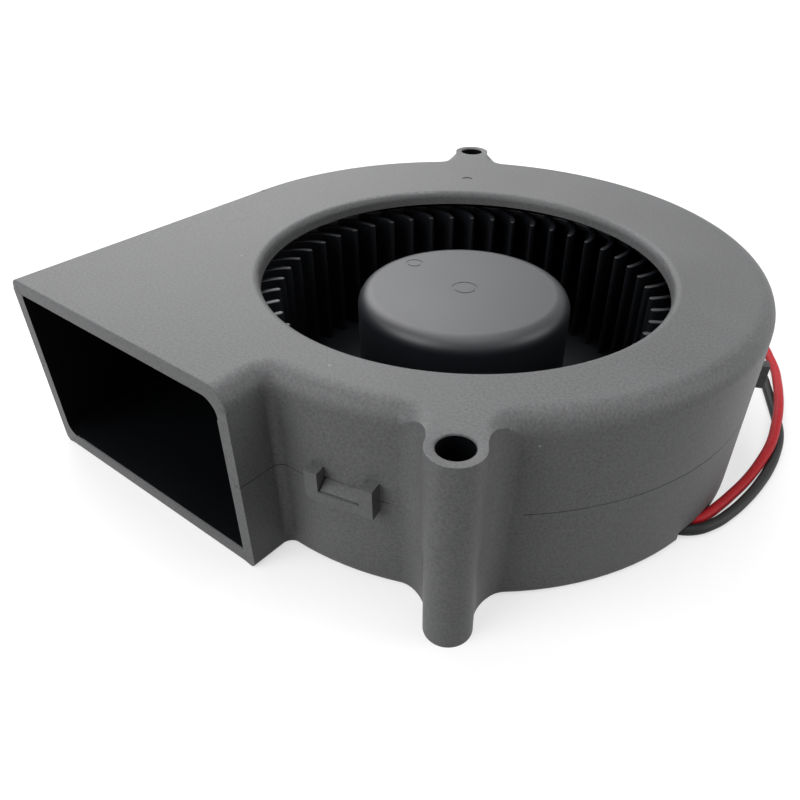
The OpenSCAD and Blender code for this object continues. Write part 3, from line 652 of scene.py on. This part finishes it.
def makeBladeTree():
    tree = bpy.data.node_groups.new("bladeRow", "GeometryNodeTree")
    socket = tree.interface.new_socket
    socket("Geometry", in_out="INPUT", socket_type="NodeSocketGeometry")
    inputs = {label: socket(label, in_out="INPUT", socket_type="NodeSocket" + kind).identifier
              for label, kind in (("Blade", "Object"), ("Count", "Int"), ("Finish", "Material"))}
    socket("Geometry", in_out="OUTPUT", socket_type="NodeSocketGeometry")
    make, link = tree.nodes.new, tree.links.new
    given, out = make("NodeGroupInput"), make("NodeGroupOutput")
    spots = make("GeometryNodeMeshLine")
    spots.inputs["Offset"].default_value = (0, 0, 0)
    blade = make("GeometryNodeObjectInfo")
    index = make("GeometryNodeInputIndex")
    step = make("ShaderNodeMath")
    step.operation = "DIVIDE"
    step.inputs[0].default_value = math.tau
    turned = make("ShaderNodeMath")
    turned.operation = "MULTIPLY"
    angle = make("ShaderNodeCombineXYZ")
    row = make("GeometryNodeInstanceOnPoints")
    both = make("GeometryNodeJoinGeometry")
    real = make("GeometryNodeRealizeInstances")
    coat = make("GeometryNodeSetMaterial")
    link(given.outputs["Count"], spots.inputs["Count"])
    link(given.outputs["Blade"], blade.inputs["Object"])
    link(given.outputs["Count"], step.inputs[1])
    link(index.outputs["Index"], turned.inputs[0])
    link(step.outputs["Value"], turned.inputs[1])
    link(turned.outputs["Value"], angle.inputs["Z"])
    link(spots.outputs["Mesh"], row.inputs["Points"])
    link(blade.outputs["Geometry"], row.inputs["Instance"])
    link(angle.outputs["Vector"], row.inputs["Rotation"])
    link(given.outputs["Geometry"], both.inputs["Geometry"])
    link(row.outputs["Instances"], both.inputs["Geometry"])
    link(both.outputs["Geometry"], real.inputs["Geometry"])
    link(real.outputs["Geometry"], coat.inputs["Geometry"])
    link(given.outputs["Finish"], coat.inputs["Material"])
    link(coat.outputs["Geometry"], out.inputs["Geometry"])
    return tree, inputs


def settle(piece):
    # makes the piece's modifiers part of its mesh
    bpy.context.view_layer.update()
    ready = piece.evaluated_get(bpy.context.evaluated_depsgraph_get())
    mesh = bpy.data.meshes.new_from_object(ready)
    piece.modifiers.clear()
    piece.data = mesh


def cutGateMark(hub, top):
    x, y, inner, outer = impeller["gateMark"]
    floor, above = top - impeller["markDepth"], top + impeller["cutAbove"]
    shape = bmesh.new()
    turn(shape, [(inner, floor), (outer, floor), (outer, above), (inner, above)], True,
         impeller["markSegments"])
    bmesh.ops.translate(shape, vec=(x * mm, y * mm, 0), verts=shape.verts)
    bmesh.ops.recalc_face_normals(shape, faces=shape.faces)
    cutter = bpy.data.objects.new("gateCutter", meshFrom(shape, "gateCutter"))
    scene.collection.objects.link(cutter)
    cut = hub.modifiers.new("gateMark", "BOOLEAN")
    cut.object = cutter
    cut.solver = "EXACT"
    settle(hub)
    bpy.data.objects.remove(cutter)
    shape = bmesh.new()
    shape.from_mesh(hub.data)
    bmesh.ops.triangulate(shape, faces=shape.faces)
    shade(shape)
    shape.to_mesh(hub.data)
    shape.free()


def coatHub(wheel, disc):
    # the blades, disc and ring take a darker copy of the hub's plastic as painted shade; the hub
    # above the disc keeps the plain plastic
    wheel.data.materials.clear()
    for name in ("bladeDiscPaintedShade", "impellerPlastic"):
        wheel.data.materials.append(finish[name])
    reach = impeller["hubRadius"] + impeller["hubMargin"]
    for face in wheel.data.polygons:
        onHub = face.center.xy.length / mm < reach and face.center.z / mm > disc
        face.material_index = int(onHub)


def makeImpeller():
    (_, _, low), (tip, _, high) = (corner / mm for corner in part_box("impeller"))
    thick = impeller["discThickness"]
    hub = bpy.data.objects.new("impellerWheel", makeHub(low, high, tip))
    blade = bpy.data.objects.new("blade", makeBlade(low + thick / 2, high, tip))
    for piece in (hub, blade):
        scene.collection.objects.link(piece)
    cutGateMark(hub, high - impeller["hubDrop"])
    row = hub.modifiers.new("bladeRow", "NODES")
    row.node_group, inputs = makeBladeTree()
    row[inputs["Blade"]] = blade
    row[inputs["Count"]] = impeller["blades"]
    # the blades take the darker copy of the plastic, which is painted shade
    row[inputs["Finish"]] = finish["bladeDiscPaintedShade"]
    evenOut(hub)
    settle(hub)
    bpy.data.objects.remove(blade)
    coatHub(hub, low + thick)
    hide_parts("impeller")
    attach(hub, "rotor")
    print("stage: impeller,", len(hub.data.polygons), "faces")


makeImpeller()


# CAD nodes that stay, with the finish that each gets
nodeFinishes = {
    "housingPlastic": ["end_cap"],
    "platedSteel": ["rotor_yoke"],
    "ferrite": ["magnet_ring"],
    "turnedBrass": ["rotor_bush", "bearing_tube", "coil_terminals", "connector_contacts"],
    "groundSteel": ["shaft", "preload_spring", "thrust_washer", "retaining_clip",
                    "bearing_inner_races", "bearing_balls", "bearing_outer_races"],
    "laminations": ["stator_core"],
    "insulatorNylon": ["upper_insulator", "lower_insulator"],
    "enamelledCopper": ["coil_windings"],
    "boardMask": ["circuit_board"],
    "packageResin": ["hall_sensor", "driver_chip", "diode", "resistors"],
    "ceramicTan": ["capacitor"],
    "solderTin": ["solder_joints"],
    "plugNylon": ["connector_housing"],
}

for name, members in nodeFinishes.items():
    for member in members:
        nodes[member].data.materials.clear()
        nodes[member].data.materials.append(finish[name])
redLead.data.materials.append(finish["redJacket"])
blackLead.data.materials.append(finish["blackJacket"])
print("stage: carried-over nodes")


# floor, light and white surround
studio = {
    "floorSize": 6.0,
    "floorColor": 0.4,
    "floorRough": 0.9,
    "floorLift": (0.6, 1.0),    # how bright the floor is seen, near the part and away from it
    "liftAway": (0.15, 0.5),    # from where to where it changes, in metres
    "ambient": 0.1,             # the surround's light on the part
    "lamps": {
        "left": {"place": (-0.56, 0.34, 0.64), "size": 0.9, "power": 7.5},
        "overhead": {"place": (0, 0, 0.9), "size": 0.9, "power": 5.0},
        "front": {"place": (-0.3, -0.8, 0.45), "size": 0.8, "power": 7.5},
        "right": {"place": (0.8, 0.4, 0.4), "size": 0.6, "power": 3.5},
    },
}


def seenDirectly(tree):
    path = tree.nodes.new("ShaderNodeLightPath")
    total = path.outputs["Is Camera Ray"]
    for ray in ("Is Glossy Ray", "Is Transmission Ray"):
        joined = tree.nodes.new("ShaderNodeMath")
        joined.operation = "MAXIMUM"
        tree.links.new(total, joined.inputs[0])
        tree.links.new(path.outputs[ray], joined.inputs[1])
        total = joined.outputs["Value"]
    return total


def makeFloor():
    half = studio["floorSize"] / 2
    mesh = bpy.data.meshes.new("floor")
    mesh.from_pydata([(-half, -half, 0), (half, -half, 0), (half, half, 0), (-half, half, 0)], [],
                     [(0, 1, 2, 3)])
    material, tree, shader = startMaterial("paleFloor")
    shader.inputs["Base Color"].default_value = (*[studio["floorColor"]] * 3, 1)
    shader.inputs["Roughness"].default_value = studio["floorRough"]
    shader.inputs["Specular IOR Level"].default_value = 0.0
    shader.inputs["Emission Color"].default_value = (1, 1, 1, 1)
    place = tree.nodes.new("ShaderNodeTexCoord")
    away = tree.nodes.new("ShaderNodeVectorMath")
    away.operation = "LENGTH"
    level = tree.nodes.new("ShaderNodeMapRange")
    for end, spot, value in zip(("Min", "Max"), studio["liftAway"], studio["floorLift"]):
        level.inputs["From " + end].default_value = spot
        level.inputs["To " + end].default_value = value
    lift = tree.nodes.new("ShaderNodeMath")
    lift.operation = "MULTIPLY"
    tree.links.new(place.outputs["Object"], away.inputs[0])
    tree.links.new(away.outputs["Value"], level.inputs["Value"])
    tree.links.new(level.outputs["Result"], lift.inputs[1])
    tree.links.new(seenDirectly(tree), lift.inputs[0])
    tree.links.new(lift.outputs["Value"], shader.inputs["Emission Strength"])
    mesh.materials.append(material)
    floor = bpy.data.objects.new("floor", mesh)
    scene.collection.objects.link(floor)


def makeWorld():
    world = bpy.data.worlds.new("surround")
    world.use_nodes = True
    tree = world.node_tree
    background = tree.nodes["Background"]
    background.inputs["Color"].default_value = (1, 1, 1, 1)
    level = tree.nodes.new("ShaderNodeMapRange")
    level.inputs["To Min"].default_value = studio["ambient"]
    level.inputs["To Max"].default_value = 1.0
    tree.links.new(seenDirectly(tree), level.inputs["Value"])
    tree.links.new(level.outputs["Result"], background.inputs["Strength"])
    scene.world = world


def makeLamp(name, look):
    data = bpy.data.lights.new(name, "AREA")
    data.shape = "DISK"
    data.size = look["size"]
    data.energy = look["power"]
    lamp = bpy.data.objects.new(name, data)
    lamp.location = look["place"]
    lamp.rotation_euler = (-Vector(look["place"])).to_track_quat("-Z", "Y").to_euler()
    scene.collection.objects.link(lamp)


makeFloor()
makeWorld()
for name, look in studio["lamps"].items():
    makeLamp(name, look)
scene.view_settings.view_transform = "Standard"
print("stage: studio")


bpy.context.view_layer.update()
